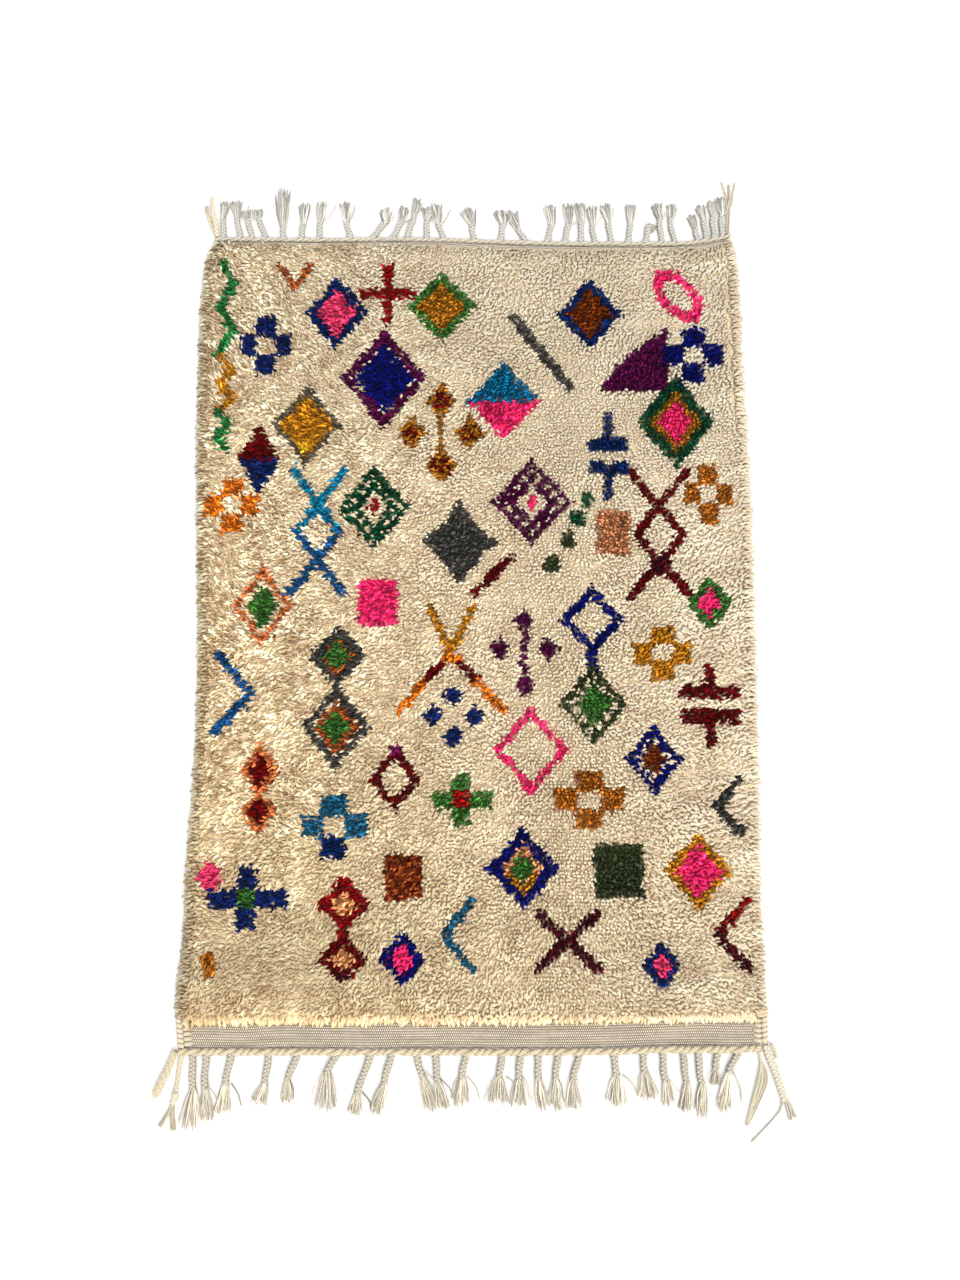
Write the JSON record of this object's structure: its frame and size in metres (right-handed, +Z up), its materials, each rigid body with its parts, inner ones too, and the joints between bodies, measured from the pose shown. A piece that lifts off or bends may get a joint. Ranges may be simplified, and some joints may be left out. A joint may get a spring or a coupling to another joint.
{
  "type": "azilal rug",
  "caption": "Rectangular hand-knotted wool pile rug lying flat, with a ribbed heading, overcast edges and plaited fringe with tassels on both ends.",
  "frame": {"origin": "middle of the whole rug with its fringe, on the surface it lies on", "axes": "+Y along the rug, away from the near end with the wide heading; +X across the rug to the right; +Z up, out of the pile"},
  "size_m": [1.0684, 1.7222, 0.0162],
  "materials": {
    "ground_weave": "flat-woven undyed wool on cotton, matt",
    "pile_wool": "knotted wool pile, matt, undyed cream with dyed motifs",
    "edge_wool": "overcast cream wool yarn, matt",
    "fringe_cotton": "plaited undyed cotton warp, matt",
    "corner_wool": "twisted cream wool yarn, matt"
  },
  "bodies": {
    "root": {"ground_weave": "ground_weave", "pile": "pile_wool", "selvedge_left": "edge_wool", "selvedge_right": "edge_wool", "fringe_near": "fringe_cotton", "fringe_far": "fringe_cotton", "corner_cord_near_left": "corner_wool", "corner_tail_near_left": "corner_wool", "corner_plait_near_right": "fringe_cotton", "corner_end_near_right": "corner_wool", "corner_tuft_near_right": "corner_wool", "corner_tails_far_left": "corner_wool", "corner_tails_far_right": "corner_wool"}
  },
  "joints": []
}
